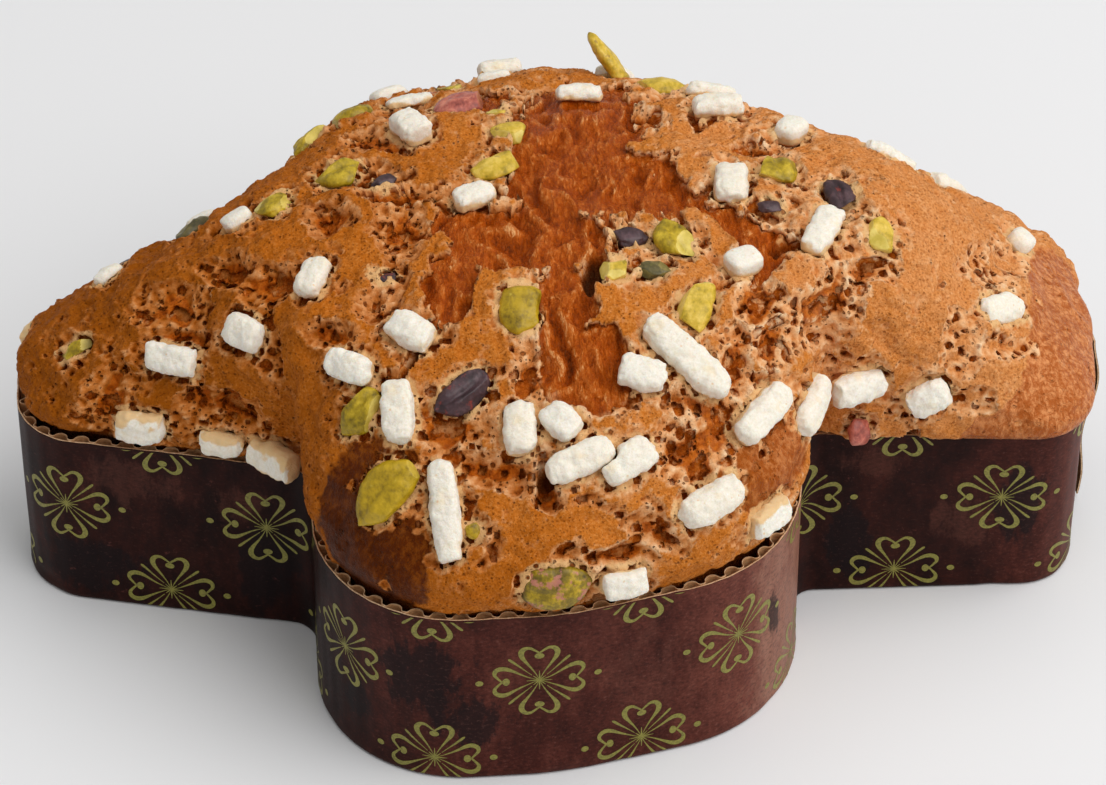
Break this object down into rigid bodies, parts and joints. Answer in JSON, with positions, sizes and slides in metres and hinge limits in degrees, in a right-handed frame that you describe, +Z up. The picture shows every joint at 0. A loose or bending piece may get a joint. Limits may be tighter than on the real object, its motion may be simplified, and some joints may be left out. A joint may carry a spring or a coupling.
{
  "type": "colomba cake",
  "caption": "Dove-shaped Easter cake with a burst almond glaze, sugar nibs and chopped pistachios, in a fluted printed paper case.",
  "frame": {"origin": "on the underside of the case, under the middle of the cake", "axes": "+Z up, +X along the dove's tail, -X along its head, wings along +Y and -Y"},
  "size_m": [0.2828, 0.1937, 0.1141],
  "materials": {
    "printed_paper": "satin",
    "crust": "matt baked crust and glaze",
    "sugar": "matt",
    "pistachio": "matt",
    "pistachio_skin": "matt"
  },
  "bodies": {
    "root": {"paper_case": "printed_paper", "cake": "crust", "sugar_01": "sugar", "sugar_02": "sugar", "sugar_03": "sugar", "sugar_04": "sugar", "sugar_05": "sugar", "sugar_06": "sugar", "sugar_07": "sugar", "sugar_08": "sugar", "sugar_09": "sugar", "sugar_10": "sugar", "sugar_11": "sugar", "sugar_12": "sugar", "sugar_13": "sugar", "sugar_14": "sugar", "sugar_15": "sugar", "sugar_16": "sugar", "sugar_17": "sugar", "sugar_18": "sugar", "sugar_19": "sugar", "sugar_20": "sugar", "sugar_21": "sugar", "sugar_22": "sugar", "sugar_23": "sugar", "sugar_24": "sugar", "sugar_25": "sugar", "sugar_26": "sugar", "sugar_27": "sugar", "sugar_28": "sugar", "sugar_29": "sugar", "sugar_30": "sugar", "sugar_31": "sugar", "sugar_32": "sugar", "sugar_33": "sugar", "sugar_34": "sugar", "sugar_35": "sugar", "sugar_36": "sugar", "sugar_37": "sugar", "sugar_38": "sugar", "pistachio_01": "pistachio_skin", "pistachio_02": "pistachio", "pistachio_03": "pistachio", "pistachio_04": "pistachio_skin", "pistachio_05": "pistachio", "pistachio_06": "pistachio", "pistachio_07": "pistachio", "pistachio_08": "pistachio_skin", "pistachio_09": "pistachio", "pistachio_10": "pistachio", "pistachio_11": "pistachio", "pistachio_12": "pistachio", "pistachio_13": "pistachio_skin", "pistachio_14": "pistachio", "pistachio_15": "pistachio", "pistachio_16": "pistachio_skin", "pistachio_17": "pistachio", "pistachio_18": "pistachio", "pistachio_slice": "pistachio"}
  },
  "joints": []
}
